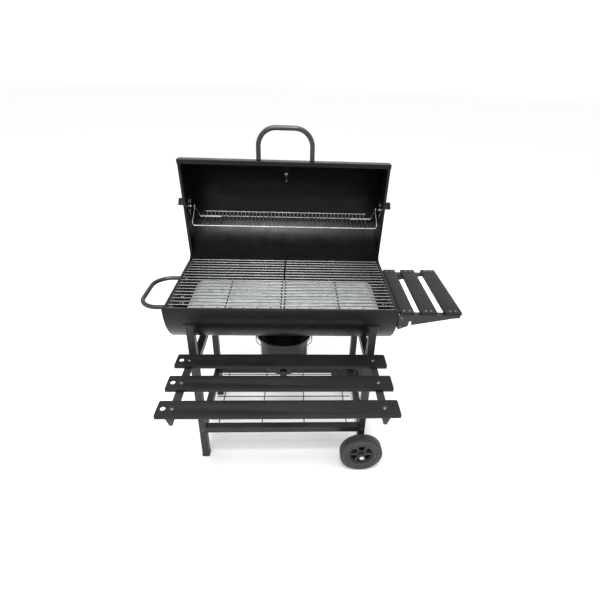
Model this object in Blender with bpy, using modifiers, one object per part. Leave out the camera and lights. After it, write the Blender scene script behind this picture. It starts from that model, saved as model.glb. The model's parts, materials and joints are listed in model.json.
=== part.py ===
"""Barrel charcoal grill on a wheeled frame, with an open lid, as separate pieces.

Metres, +X to the grill's right, +Y to its back, +Z up.  The pieces are drawn with the
barrel's axis at Y = 0, the middle of its length at X = 0 and the floor at Z = 0, and hang
on one empty that puts the middle of the whole outline over the origin.  The lid and what
it carries are drawn closed; the lid's pivot then opens them.
"""
import math

import bmesh
import bpy
from mathutils import Matrix

# ---------------------------------------------------------------- driving dimensions
GAP = 0.0003                    # clearance between pieces that touch
SHEET = 0.0015                  # barrel sheet thickness
BARREL_HALF = 0.375             # half the barrel's length
BARREL_R = 0.190                # outer radius of bowl and lid
RIM_Z = 0.682                   # height of the bowl's rim
SHELL_STEPS = 28                # facets in a half round shell
END_X = BARREL_HALF - 0.001     # outer face of the inset end plates
END_R = BARREL_R - SHEET - GAP  # radius of the end plates, inside the shells

LID_Z = RIM_Z + 0.0015          # lower edge of the closed lid
LID_OPEN = math.radians(85)     # how far the lid stands open
HINGE_Y = 0.1965
HINGE_Z = 0.680
HINGE_X = 0.270
PIN_R = 0.0025
KNUCKLE_R = 0.0055

VENT_Y = 0.020                  # centre of the vents, behind the middle of the end plates
LID_VENT_Z = 0.777
BOWL_VENT_Z = 0.576
VENT_R = 0.045
PETALS = 6

GRATE_Z = 0.6785                # centre of the grate bars
GRATE_BARS = 18
GRATE_PITCH = 0.0212
GRATE_Y = 0.0027                # middle of the bars, clear of the bowl's folded front edge
BAR_R = 0.0025
GRATE_INNER_X = 0.003
GRATE_OUTER_X = 0.3625

TRAY_Z = 0.600
TRAY_HALF_X = 0.345
TRAY_FLAT_X = 0.322
TRAY_HALF_Y = 0.1675
HOLE_COLUMNS = 13
HOLE_ROWS = 5
HOLE_PITCH_X = 0.0473
HOLE_PITCH_Y = 0.042

RACK_HALF_X = 0.342
RACK_FRONT = (-0.0593, -0.0568)  # front rail, from the rack's pivot, (y, z)
RACK_BACK = (0.0557, -0.0568)
RACK_COMB_Z = -0.0370
RACK_HANGER_X = 0.356
RACK_WIRES = 43
RACK_PITCH = 0.0153

TUBE = 0.025                    # square tube of the frame
LEG_X = 0.300
LEG_FRONT_Y = -0.165
LEG_REAR_Y = 0.172
SADDLE = 0.002                  # plate between a leg and the bowl
CROSSBAR_Z = 0.1415             # centre height of the lower rails
SIDE_RAIL_Z = 0.4525            # centre height of the upper rails
FOOT_H = 0.010

WHEEL_R = 0.080
WHEEL_WIDTH = 0.036
WHEEL_Y = 0.231
AXLE_X = 0.295
AXLE_R = 0.005
HUB_HALF = 0.022

SLAT_T = 0.010
SHELF_TOP_Z = 0.500
SHELF_HALF_X = 0.346
SHELF_BACK_Y = -0.179
SHELF_SLAT = 0.062
SHELF_PITCH = 0.1068
ARM_X = 0.3025
TABLE_TOP_Z = 0.676
TABLE_FRONT_Y = -0.190
TABLE_BACK_Y = 0.125
TABLE_SLATS = {"a": (0.379, 0.424), "b": (0.446, 0.500), "c": (0.525, 0.581)}

HANDLE_R = 0.008
LID_HANDLE_X = 0.0945           # half the distance between the lid handle's legs
LID_HANDLE_REACH = 0.108
LID_HANDLE_ANGLE = math.radians(172)
SIDE_HANDLE_Y = 0.105
SIDE_HANDLE_Z = 0.637
SIDE_HANDLE_X = 0.482

THERMO_ANGLE = math.radians(30.6)
THERMO_R = 0.027
POT_R = 0.091
POT_TOP = 0.4738
POT_BOTTOM = 0.330
OUTLET_R = 0.0545

# outline of the whole grill, which puts the origin under its middle
LEFT_EDGE = -SIDE_HANDLE_X - HANDLE_R
RIGHT_EDGE = TABLE_SLATS["c"][1]
FRONT_EDGE = SHELF_BACK_Y - 2 * SHELF_PITCH - SHELF_SLAT
LID_CENTRE_Y = HINGE_Y - HINGE_Y * math.cos(LID_OPEN) + (LID_Z - HINGE_Z) * math.sin(LID_OPEN)
BACK_EDGE = LID_CENTRE_Y + BARREL_R

BLACK = (0.022, 0.022, 0.021)
FRAME_BLACK = (0.035, 0.035, 0.032)
SLAT_BLACK = (0.040, 0.040, 0.039)
CHROME = (0.60, 0.60, 0.58)
ZINC = (0.45, 0.48, 0.49)
PLASTIC = (0.045, 0.046, 0.048)


# ---------------------------------------------------------------- scene and materials
def clear_scene():
    for old in list(bpy.data.objects):
        bpy.data.objects.remove(old, do_unlink=True)


def make_collection(name):
    made = bpy.data.collections.new(name)
    bpy.context.scene.collection.children.link(made)
    return made


def make_material(name, colour, roughness, metallic):
    made = bpy.data.materials.new(name)
    made.use_nodes = True
    shader = made.node_tree.nodes["Principled BSDF"]
    shader.inputs["Base Color"].default_value = (*colour, 1.0)
    shader.inputs["Roughness"].default_value = roughness
    shader.inputs["Metallic"].default_value = metallic
    return made


class Pivot:
    """An empty that pieces hang on, and where it stands in the closed grill."""

    def __init__(self, name, place, parent=None):
        self.place = place
        self.empty = bpy.data.objects.new(name, None)
        parts.objects.link(self.empty)
        origin = parent.place if parent else (0, 0, 0)
        self.empty.location = [a - b for a, b in zip(place, origin)]
        if parent:
            self.empty.parent = parent.empty

    def hang(self, piece):
        piece.location = [a - b for a, b in zip(piece.location, self.place)]
        piece.parent = self.empty
        return piece


def add_piece(name, data, colour, roughness=0.4, metallic=0.0):
    """Makes the object, gives it its own material and lists it in the grill's collection."""
    data.materials.append(make_material(name, colour, roughness, metallic))
    piece = bpy.data.objects.new(name, data)
    parts.objects.link(piece)
    return piece


def make_guide(name, data):
    """An object that only cuts or joins another."""
    guide = bpy.data.objects.new(name, data)
    guide.hide_render = True
    guide.display_type = "WIRE"
    guides.objects.link(guide)
    return guide


def boolean(piece, guide, operation):
    modifier = piece.modifiers.new(operation.lower() + "_" + guide.name, "BOOLEAN")
    modifier.operation = operation
    modifier.object = guide
    return piece


def smooth(mesh, angle=40):
    mesh.shade_smooth()
    mesh.set_sharp_from_angle(angle=math.radians(angle))
    return mesh


# ---------------------------------------------------------------- meshes and curves
def mesh_from(fill):
    """A mesh filled by fill(bm)."""
    mesh = bpy.data.meshes.new("piece")
    bm = bmesh.new()
    fill(bm)
    bm.to_mesh(mesh)
    bm.free()
    return mesh


def add_box(bm, low, high):
    centre = [(a + b) / 2 for a, b in zip(low, high)]
    size = [b - a for a, b in zip(low, high)]
    place = Matrix.Translation(centre) @ Matrix.Diagonal((*size, 1.0))
    bmesh.ops.create_cube(bm, size=1.0, matrix=place)


AXIS_TURN = {
    "x": Matrix.Rotation(math.radians(90), 4, "Y"),
    "y": Matrix.Rotation(math.radians(-90), 4, "X"),
    "z": Matrix.Identity(4),
}


def add_rod(bm, centre, radius, length, axis="z", sides=6):
    """A straight round or hexagonal bar along an axis."""
    place = Matrix.Translation(centre) @ AXIS_TURN[axis]
    bmesh.ops.create_cone(bm, cap_ends=True, segments=sides, radius1=radius,
                          radius2=radius, depth=length, matrix=place)


def boxes_mesh(boxes):
    return mesh_from(lambda bm: [add_box(bm, low, high) for low, high in boxes])


def rods_mesh(rods):
    """rods: (centre, radius, length, axis, sides) each."""
    return mesh_from(lambda bm: [add_rod(bm, *rod) for rod in rods])


def turned_mesh(profile, steps):
    """A profile of (radius, z) turned about Z, its outer side running down."""
    mesh = mesh_from(lambda bm: spin_profile(bm, profile, steps))
    return smooth(mesh)


def spin_profile(bm, profile, steps):
    """Screw modifier on a scratch object: the profile turned a full circle."""
    line = bpy.data.meshes.new("profile")
    closed = profile[0][0] > 0
    count = len(profile)
    edges = [(i, (i + 1) % count) for i in range(count if closed else count - 1)]
    line.from_pydata([(r, 0, z) for r, z in profile], edges, [])
    lathe = bpy.data.objects.new("lathe", line)
    guides.objects.link(lathe)
    screw = lathe.modifiers.new("turn", "SCREW")
    screw.steps = steps
    screw.render_steps = steps
    screw.use_merge_vertices = True
    screw.merge_threshold = 0.00005
    bpy.context.view_layer.update()
    graph = bpy.context.evaluated_depsgraph_get()
    bm.from_mesh(lathe.evaluated_get(graph).data)
    bpy.data.objects.remove(lathe)
    bpy.data.meshes.remove(line)


def arc(radius, start, end, steps, centre=(0, 0)):
    """Points on an arc between two angles in degrees."""
    angles = [math.radians(start + (end - start) * i / steps) for i in range(steps + 1)]
    return [(centre[0] + radius * math.cos(a), centre[1] + radius * math.sin(a)) for a in angles]


def sheet_mesh(path, low, high):
    """An open sheet: a (y, z) path drawn from one X to another.

    Seen from +X the path runs anticlockwise round the inside of the sheet.
    """
    mesh = bpy.data.meshes.new("sheet")
    count = len(path)
    points = [(x, y, z) for x in (low, high) for y, z in path]
    faces = [(i, i + 1, count + i + 1, count + i) for i in range(count - 1)]
    mesh.from_pydata(points, [], faces)
    return smooth(mesh)


def thicken(piece, thickness=SHEET):
    solid = piece.modifiers.new("thickness", "SOLIDIFY")
    solid.thickness = thickness
    solid.offset = -1.0
    solid.use_even_offset = True
    return piece


def plate_curve(name, outlines, thickness):
    """A flat plate: the first outline filled, the others its holes."""
    curve = bpy.data.curves.new(name, "CURVE")
    curve.dimensions = "2D"
    curve.fill_mode = "BOTH"
    curve.extrude = thickness / 2
    for outline in outlines:
        spline = curve.splines.new("POLY")
        spline.points.add(len(outline) - 1)
        for point, (u, v) in zip(spline.points, outline):
            point.co = (u, v, 0, 1)
        spline.use_cyclic_u = True
    return curve


# turns a flat plate upright, across X: its u runs along Y and its v along Z
UPRIGHT = Matrix.Rotation(math.radians(90), 4, "Z") @ Matrix.Rotation(math.radians(90), 4, "X")


def tube_curve(name, runs, radius, resolution=2, cyclic=False):
    """Round wire or tube along each run of points."""
    curve = bpy.data.curves.new(name, "CURVE")
    curve.dimensions = "3D"
    curve.bevel_depth = radius
    curve.bevel_resolution = resolution
    curve.use_fill_caps = True
    for run in runs:
        spline = curve.splines.new("POLY")
        spline.points.add(len(run) - 1)
        for point, place in zip(spline.points, run):
            point.co = (*place, 1)
        spline.use_cyclic_u = cyclic
        spline.use_smooth = True
    return curve


def as_mesh(curve, place=Matrix.Identity(4)):
    """The mesh of a curve, with its caps welded on, moved by place."""
    holder = bpy.data.objects.new("holder", curve)
    guides.objects.link(holder)
    bpy.context.view_layer.update()
    graph = bpy.context.evaluated_depsgraph_get()
    mesh = bpy.data.meshes.new_from_object(holder.evaluated_get(graph))
    bm = bmesh.new()
    bm.from_mesh(mesh)
    bmesh.ops.remove_doubles(bm, verts=bm.verts, dist=0.00001)
    bmesh.ops.transform(bm, matrix=place, verts=bm.verts)
    bm.to_mesh(mesh)
    bm.free()
    bpy.data.objects.remove(holder)
    return mesh


def fused(name, meshes, colour, roughness=0.4, metallic=0.0):
    """Overlapping meshes joined into one solid."""
    piece = add_piece(name, meshes[0], colour, roughness, metallic)
    for number, mesh in enumerate(meshes[1:]):
        join(piece, make_guide(f"{name}_join_{number}", mesh))
    return piece


def join(piece, guide):
    """Adds the guide's shape to the piece, which it then moves with."""
    boolean(piece, guide, "UNION")
    guide.parent = piece
    return piece


def rounded_u(half_width, reach, corner, steps=6):
    """A U of tube centres: two legs, two round corners and a straight grip."""
    left = arc(corner, 180, 90, steps, (-half_width + corner, reach - corner))
    right = arc(corner, 90, 0, steps, (half_width - corner, reach - corner))
    return [(-half_width, 0)] + left + right + [(half_width, 0)]


# ---------------------------------------------------------------- bowl
def bowl_shell():
    """Half round trough with its front edge folded in and the ash outlet's hole below."""
    path = [(-0.1810, RIM_Z)] + arc(BARREL_R, 180, 360, SHELL_STEPS, (0, RIM_Z))
    shell = thicken(add_piece("bowl_shell", sheet_mesh(path, -BARREL_HALF, BARREL_HALF), BLACK))
    hole = rods_mesh([((0, 0, RIM_Z - BARREL_R), OUTLET_R + GAP, 0.08, "z", 20)])
    cutter = root.hang(make_guide("ash_outlet_cut", hole))
    boolean(shell, cutter, "DIFFERENCE")
    root.hang(shell)


def petal(centre, index):
    """One round-ended opening of a vent, between its hub and its rim."""
    turn = 360 / PETALS * index + 90
    inner = arc(0.014, turn + 15, turn - 15, 1, centre)
    outer = arc(0.034, turn - 14, turn + 14, 2, centre)
    return inner + outer


def vent_openings(centre, first=0):
    return [petal(centre, first + i) for i in range(PETALS)]


def end_plate(name, side, start, base_z, vent_z, reach_in):
    """D-shaped plate that closes a shell's end, with the vent's openings and its stud.

    The stud is riveted in the plate: its round head holds the vent's disc outside.
    """
    rim = arc(END_R, start, start + 180, SHELL_STEPS, (0, base_z))
    inset = 0.002 if start == 0 else -0.002
    rim[0] = (math.copysign(0.1880, rim[0][0]), base_z + inset)
    rim[-1] = (math.copysign(0.1880, rim[-1][0]), base_z + inset)
    place = Matrix.Translation((side * (END_X - SHEET / 2), 0, 0)) @ UPRIGHT
    plate = as_mesh(plate_curve(name, [rim] + vent_openings((VENT_Y, vent_z)), SHEET), place)
    outside = END_X + SHEET + 2 * GAP
    profile = [(0, outside + 0.003), (0.0060, outside + 0.003), (0.0060, outside),
               (0.0030, outside), (0.0030, END_X - reach_in), (0, END_X - reach_in)]
    stud = turned_mesh(profile, 8)
    turn = Matrix.Rotation(math.radians(90 * side), 4, "Y")
    stud.transform(Matrix.Translation((0, VENT_Y, vent_z)) @ turn)
    return fused(name, [plate, stud], BLACK)


def bowl_rear_lip():
    """Strip inside the bowl's rear rim that the lid closes over."""
    half = BARREL_HALF - 0.003
    lip = boxes_mesh([((-half, 0.1862, RIM_Z - 0.009), (half, 0.1877, RIM_Z + 0.012))])
    root.hang(add_piece("bowl_rear_lip", lip, BLACK))


def grate_ledges():
    """Angle strips inside the bowl that carry the cross wires of the grates."""
    top = GRATE_Z - 0.0078
    corner = 0.1848
    half = BARREL_HALF - 0.004
    rear = [(corner, top - 0.014), (corner, top), (0.168, top)]
    front = [(-y, z) for y, z in reversed(rear)]
    for end, path in (("front", front), ("rear", rear)):
        ledge = add_piece(f"grate_ledge_{end}", sheet_mesh(path, -half, half), BLACK)
        root.hang(thicken(ledge))


def side_handle():
    outline = rounded_u(SIDE_HANDLE_Y, SIDE_HANDLE_X - END_X - GAP, 0.062)
    run = [(-END_X - GAP - v, u, SIDE_HANDLE_Z) for u, v in outline]
    root.hang(add_piece("side_handle", tube_curve("side_handle", [run], HANDLE_R), BLACK))


# ---------------------------------------------------------------- grates, tray and ash pot
def cooking_grate(name, side):
    """Bars on three cross wires, all welded together."""
    pivot = Pivot(name + "_lift", (side * (GRATE_INNER_X + GRATE_OUTER_X) / 2, GRATE_Y, GRATE_Z), root)
    middle = (GRATE_INNER_X + GRATE_OUTER_X) / 2
    length = GRATE_OUTER_X - GRATE_INNER_X
    span = GRATE_PITCH * (GRATE_BARS - 1)
    bars = [((side * middle, GRATE_Y - span / 2 + GRATE_PITCH * i, GRATE_Z), BAR_R, length, "x", 6)
            for i in range(GRATE_BARS)]
    wire_z = GRATE_Z - 2 * BAR_R + 0.0006
    places = (GRATE_INNER_X + 0.003, middle, GRATE_OUTER_X - 0.003)
    wires = [((side * x, GRATE_Y, wire_z), BAR_R, span + 0.004, "y", 4) for x in places]
    grate = fused(name, [rods_mesh(bars), rods_mesh(wires)], CHROME, 0.25, 1.0)
    return pivot.hang(grate)


def barrel_guide(name, radius, pivot):
    """A round bar on the barrel's axis, to shape what meets the barrel."""
    mesh = rods_mesh([((0, 0, RIM_Z), radius, 2 * BARREL_HALF, "x", 120)])
    return pivot.hang(make_guide(name, mesh))


def charcoal_tray():
    """Flat sheet with bent-down ends that narrow to the bowl, and rows of round holes."""
    pivot = Pivot("charcoal_tray_lift", (0, 0, TRAY_Z), root)
    fold = 0.014
    path = [(TRAY_HALF_X, TRAY_Z - fold), (TRAY_FLAT_X, TRAY_Z),
            (-TRAY_FLAT_X, TRAY_Z), (-TRAY_HALF_X, TRAY_Z - fold)]
    sheet = sheet_mesh(path, -TRAY_HALF_Y, TRAY_HALF_Y)
    tray = thicken(add_piece("charcoal_tray", sheet, ZINC, 0.35, 0.9))
    tray.rotation_euler = (0, 0, math.radians(90))
    boolean(tray, barrel_guide("tray_outline", END_R - 0.0008, pivot), "INTERSECT")
    columns = [HOLE_PITCH_X * (i - (HOLE_COLUMNS - 1) / 2) for i in range(HOLE_COLUMNS)]
    rows = [HOLE_PITCH_Y * (i - (HOLE_ROWS - 1) / 2) for i in range(HOLE_ROWS)]
    holes = [((x, y, TRAY_Z), 0.003, 0.02, "z", 6) for x in columns for y in rows]
    cutter = make_guide("tray_holes", rods_mesh(holes))
    boolean(tray, pivot.hang(cutter), "DIFFERENCE")
    pivot.hang(tray)


def ash_outlet():
    """Collar through the bottom of the bowl, pressed in one with the cover of the ash pot."""
    bore = OUTLET_R - 0.0012
    top = RIM_Z - math.sqrt(BARREL_R ** 2 - OUTLET_R ** 2) + 0.004
    ridges = [(bore, top), (OUTLET_R, top), (OUTLET_R, 0.4800), (0.064, 0.4800),
              (0.067, 0.4775), (0.078, 0.4775), (0.081, 0.4755), (0.094, 0.4755),
              (0.1035, 0.4745), (0.1035, 0.4660)]
    under = [(0.1023, 0.4660), (0.1023, 0.4733), (0.094, 0.4742), (0.078, 0.4742),
             (0.063, 0.4787), (bore, 0.4787)]
    root.hang(add_piece("ash_outlet", turned_mesh(ridges + under, 20), BLACK))


def ash_pot():
    """Round bucket with a grip in front and two wire clips that hook over its cover."""
    pivot = Pivot("ash_pot_drop", (0, 0, POT_BOTTOM), root)
    wall = 0.0015
    corner = 0.006
    centre = (POT_R - 0.001 - corner, POT_BOTTOM + corner)
    inside = [(0, POT_BOTTOM + wall)] + arc(corner - wall, -90, 0, 2, centre)
    inside += [(POT_R - wall, POT_TOP - 0.005), (POT_R - wall, POT_TOP)]
    outside = [(POT_R + 0.003, POT_TOP), (POT_R + 0.003, POT_TOP - 0.004),
               (POT_R, POT_TOP - 0.005)]
    outside += arc(corner, 0, -90, 2, centre) + [(0, POT_BOTTOM)]
    bucket = turned_mesh(inside + outside, 36)
    grip = boxes_mesh([((-0.013, -0.104, 0.3520), (0.013, -0.0866, 0.3580))])
    tab = boxes_mesh([((-0.012, -0.1035, 0.3370), (0.012, -0.1010, 0.3570))])
    pivot.hang(fused("ash_pot", [bucket, grip, tab], BLACK, 0.5))

    for word, side in (("left", -1), ("right", 1)):
        foot = [(side * (POT_R - 0.0003), y, 0.412) for y in (-0.012, 0.012)]
        knee = [(side * 0.1056, y, 0.432) for y in (-0.012, 0.012)]
        top = [(side * 0.1056, y, 0.4765) for y in (-0.012, 0.012)]
        run = [foot[0], knee[0], top[0], top[1], knee[1], foot[1]]
        wire = tube_curve(f"ash_pot_clip_{word}", [run], 0.0014, 1)
        pivot.hang(add_piece(f"ash_pot_clip_{word}", wire, CHROME, 0.3, 1.0))


# ---------------------------------------------------------------- lid
def lid_shell():
    """Half round cover with its front edge folded in and the thermometer's hole."""
    path = arc(BARREL_R, 0, 180, SHELL_STEPS, (0, LID_Z)) + [(-0.1750, LID_Z)]
    shell = thicken(add_piece("lid_shell", sheet_mesh(path, -BARREL_HALF, BARREL_HALF), BLACK))
    hole = make_guide("thermometer_cut", rods_mesh([((0, 0, 0), 0.005, 0.02, "z", 10)]))
    hole.rotation_euler = (THERMO_ANGLE, 0, 0)
    hole.location = thermo_place(0)
    boolean(shell, lid.hang(hole), "DIFFERENCE")
    lid.hang(shell)


def lid_handle():
    outline = rounded_u(LID_HANDLE_X, LID_HANDLE_REACH, 0.062)
    run = [(u, v, 0) for u, v in outline]
    grip = add_piece("lid_handle", tube_curve("lid_handle", [run], HANDLE_R + 0.0005), BLACK)
    reach = BARREL_R + GAP
    grip.rotation_euler = (LID_HANDLE_ANGLE, 0, 0)
    grip.location = (0, reach * math.cos(LID_HANDLE_ANGLE),
                     LID_Z + reach * math.sin(LID_HANDLE_ANGLE))
    lid.hang(grip)


def thermo_place(height):
    """A point on the thermometer's axis, this far outside the lid."""
    reach = BARREL_R + height
    return (0, -reach * math.sin(THERMO_ANGLE), LID_Z + reach * math.cos(THERMO_ANGLE))


def thermometer():
    """Dial case outside the lid, with its stem and nut inside and a turning needle."""
    needle_pivot = Pivot("thermometer_needle_pivot", thermo_place(0), lid)

    def place(piece, pivot):
        piece.rotation_euler = (THERMO_ANGLE, 0, 0)
        piece.location = thermo_place(0)
        pivot.hang(piece)

    rim = THERMO_R - 0.0015
    case = [(0, 0.004), (rim, 0.004), (rim, 0.014), (THERMO_R, 0.014), (THERMO_R, 0.0004),
            (0, 0.0004)]
    place(add_piece("thermometer_case", turned_mesh(case, 18), CHROME, 0.25, 1.0), lid)
    stem = rods_mesh([((0, 0, -0.0200), 0.0030, 0.040, "z", 8)])
    nut = rods_mesh([((0, 0, -0.0048), 0.0085, 0.0045, "z", 6)])
    place(fused("thermometer_stem", [stem, nut], CHROME, 0.3, 1.0), lid)
    hub = rods_mesh([((0, 0, 0.0066), 0.0025, 0.0024, "z", 8)])
    arm = boxes_mesh([((-0.0008, -0.005, 0.0060), (0.0008, 0.018, 0.0070))])
    place(fused("thermometer_needle", [hub, arm], (0.02, 0.02, 0.02)), needle_pivot)


def hinge_leaf(name, x, outline, knuckles, pivot):
    """A flat leaf with its knuckles rolled round the pin."""
    flat = Matrix.Translation((x, 0.19105, HINGE_Z)) @ Matrix.Rotation(math.radians(90), 4, "X")
    meshes = [as_mesh(plate_curve(name, [outline], SHEET), flat)]
    bore = PIN_R + 0.0003
    for low, high in knuckles:
        half = (high - low) / 2 - 0.0003
        tube = turned_mesh([(bore, half), (KNUCKLE_R, half), (KNUCKLE_R, -half), (bore, -half)], 14)
        middle = (x + (low + high) / 2, HINGE_Y, HINGE_Z)
        tube.transform(Matrix.Translation(middle) @ AXIS_TURN["x"])
        meshes.append(tube)
    pivot.hang(fused(name, meshes, BLACK))


def hinges():
    wide, notch, edge, past = 0.025, 0.0095, 0.0065, 0.001
    fixed = [(-wide, -0.040), (wide, -0.040), (wide, past), (notch, past), (notch, -edge),
             (-notch, -edge), (-notch, past), (-wide, past)]
    tab = notch - 0.0005
    moving = [(-tab, -past), (tab, -past), (tab, edge), (wide, edge + past), (wide, 0.035),
              (-wide, 0.035), (-wide, edge + past), (-tab, edge)]
    for word, x in (("left", -HINGE_X), ("right", HINGE_X)):
        hinge_leaf(f"hinge_bowl_leaf_{word}", x, fixed, [(-wide, -notch), (notch, wide)], root)
        hinge_leaf(f"hinge_lid_leaf_{word}", x, moving, [(-tab, tab)], lid)
        pin = rods_mesh([((x, HINGE_Y, HINGE_Z), PIN_R, 0.054, "x", 12)])
        root.hang(add_piece(f"hinge_pin_{word}", pin, CHROME, 0.3, 1.0))


def lid_stops():
    """Hooked plates behind the bowl that the open lid leans on."""
    outline = [(0.1836, 0.630), (0.1960, 0.632), (0.2120, 0.664), (0.2220, 0.678),
               (0.2220, 0.6880), (0.2058, 0.6866), (0.2050, 0.6715), (0.1905, 0.6700),
               (0.1884, 0.650)]
    for word, x in (("left", -0.200), ("right", 0.200)):
        name = f"lid_stop_{word}"
        stop = add_piece(name, plate_curve(name, [outline], 0.003), BLACK)
        stop.rotation_euler = UPRIGHT.to_euler()
        stop.location = (x, 0, 0)
        root.hang(stop)


# ---------------------------------------------------------------- vents
def vent(name, side, vent_z, tab_turn, owner, first=0):
    """Turning disc outside an end plate, with a bent tab; half a petal on, it shuts the vent."""
    pivot = Pivot(name + "_pivot", (side * END_X, VENT_Y, vent_z), owner)
    place = Matrix.Translation((side * (END_X + GAP + SHEET / 2), VENT_Y, vent_z))
    rim = arc(VENT_R, 0, 340, 17)
    bore = arc(0.0036, 0, 315, 7)
    outlines = [rim, bore] + vent_openings((0, 0), first)
    disc = as_mesh(plate_curve(name, outlines, SHEET), place @ UPRIGHT)
    near, far = sorted((-side * 0.0004, side * 0.0320))
    tab = boxes_mesh([((near, VENT_R - 0.0025, -0.015), (far, VENT_R - 0.0010, 0.015))])
    tab.transform(place @ Matrix.Rotation(math.radians(tab_turn), 4, "X"))
    pivot.hang(fused(name, [disc, tab], BLACK, 0.45))


# ---------------------------------------------------------------- warming rack
def warming_rack():
    """Wire rack that hangs level from the studs in the lid's ends."""
    pivot = Pivot("rack_pivot", (0, VENT_Y, LID_VENT_Z), lid)
    pivot.empty.rotation_euler = (LID_OPEN, 0, 0)
    first = -RACK_PITCH * (RACK_WIRES - 1) / 2
    runs = []
    for i in range(RACK_WIRES):
        x = first + RACK_PITCH * i
        runs.append([(x, RACK_FRONT[0] - 0.0008, RACK_FRONT[1] + 0.0024),
                     (x, RACK_BACK[0] + 0.0024, RACK_BACK[1] + 0.0024),
                     (x, RACK_BACK[0] + 0.0024, RACK_COMB_Z + 0.0008)])
    wires = as_mesh(tube_curve("wires", runs, 0.0013, 0))
    rails = rods_mesh([((0, *RACK_FRONT), 0.0020, 2 * RACK_HALF_X, "x", 6),
                       ((0, *RACK_BACK), 0.0020, 2 * RACK_HALF_X, "x", 6),
                       ((0, RACK_BACK[0], RACK_COMB_Z), 0.0020, -2 * first + 0.012, "x", 6)])
    rings = []
    legs = []
    for x in (-RACK_HANGER_X, RACK_HANGER_X):
        angles = [math.radians(30 * i) for i in range(12)]
        rings.append([(x, 0.0066 * math.cos(a), 0.0066 * math.sin(a)) for a in angles])
        end = math.copysign(RACK_HALF_X - 0.004, x)
        for wire_y, rail in ((-0.0045, RACK_FRONT), (0.0045, RACK_BACK)):
            legs.append([(x, wire_y, -0.0050), (x, rail[0], rail[1] + 0.010),
                         (end, rail[0], rail[1])])
    ring_mesh = as_mesh(tube_curve("rings", rings, 0.0018, 1, True))
    leg_mesh = as_mesh(tube_curve("legs", legs, 0.0018, 1))
    rack = fused("warming_rack", [wires, rails, ring_mesh, leg_mesh], CHROME, 0.25, 1.0)
    rack.parent = pivot.empty


# ---------------------------------------------------------------- frame and wheels
def legs():
    """Four square legs cut to the barrel, each with a curved saddle welded on."""
    cutter = barrel_guide("leg_tops", BARREL_R + SADDLE - 0.0008, root)
    axle_hole = rods_mesh([((AXLE_X, 0, WHEEL_R), AXLE_R + GAP, 0.6, "y", 12)])
    axle_cut = root.hang(make_guide("axle_cut", axle_hole))
    for end, y in (("front", LEG_FRONT_Y), ("rear", LEG_REAR_Y)):
        turn = math.degrees(math.atan2(-math.sqrt(BARREL_R ** 2 - y ** 2), y))
        path = arc(BARREL_R + SADDLE, turn - 9, turn + 9, 6, (0, RIM_Z))
        for side in (-1, 1):
            name = f"leg_{end}_" + ("left" if side < 0 else "right")
            bottom = FOOT_H + GAP if side < 0 else WHEEL_R - 0.018
            low = (side * LEG_X - TUBE / 2, y - TUBE / 2, bottom)
            high = (side * LEG_X + TUBE / 2, y + TUBE / 2, RIM_Z - 0.060)
            leg = add_piece(name, boxes_mesh([(low, high)]), FRAME_BLACK)
            boolean(leg, cutter, "DIFFERENCE")
            middle = side * LEG_X
            saddle = make_guide(name + "_saddle", sheet_mesh(path, middle - 0.021, middle + 0.021))
            join(leg, thicken(saddle, SADDLE - 2 * GAP))
            if side > 0:
                boolean(leg, axle_cut, "DIFFERENCE")
            root.hang(leg)


def rails():
    """Upper and lower side rails and the two crossbars, all of the leg's tube."""
    front = LEG_FRONT_Y + TUBE / 2 + GAP
    rear = LEG_REAR_Y - TUBE / 2 - GAP
    half = TUBE / 2
    for level, z in (("upper", SIDE_RAIL_Z), ("lower", CROSSBAR_Z)):
        for word, x in (("left", -LEG_X), ("right", LEG_X)):
            bar = boxes_mesh([((x - half, front, z - half), (x + half, rear, z + half))])
            root.hang(add_piece(f"side_rail_{level}_{word}", bar, FRAME_BLACK))
    inner = LEG_X - half - GAP
    for end, y in (("front", LEG_FRONT_Y), ("rear", LEG_REAR_Y)):
        bar = boxes_mesh([((-inner, y - half, CROSSBAR_Z - half),
                           (inner, y + half, CROSSBAR_Z + half))])
        root.hang(add_piece(f"crossbar_{end}", bar, FRAME_BLACK))


def wire_shelf():
    radius = 0.002
    z = CROSSBAR_Z + TUBE / 2 + GAP + radius
    middle = (LEG_FRONT_Y + LEG_REAR_Y) / 2
    length = LEG_REAR_Y - LEG_FRONT_Y + 0.012
    along = [((x, middle, z), radius, length, "y", 6) for x in (-0.242, -0.080, 0.080, 0.242)]
    across = [((0, y, z + 2 * radius - 0.0006), radius, 0.540, "x", 6)
              for y in (-0.140, -0.020, 0.115)]
    shelf = fused("wire_shelf", [rods_mesh(along), rods_mesh(across)], FRAME_BLACK)
    root.hang(shelf)


def feet():
    half = TUBE / 2 + 0.001
    for end, y in (("front", LEG_FRONT_Y), ("rear", LEG_REAR_Y)):
        cap = boxes_mesh([((-LEG_X - half, y - half, 0), (-LEG_X + half, y + half, FOOT_H))])
        root.hang(add_piece(f"foot_cap_{end}", cap, PLASTIC, 0.6))


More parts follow.
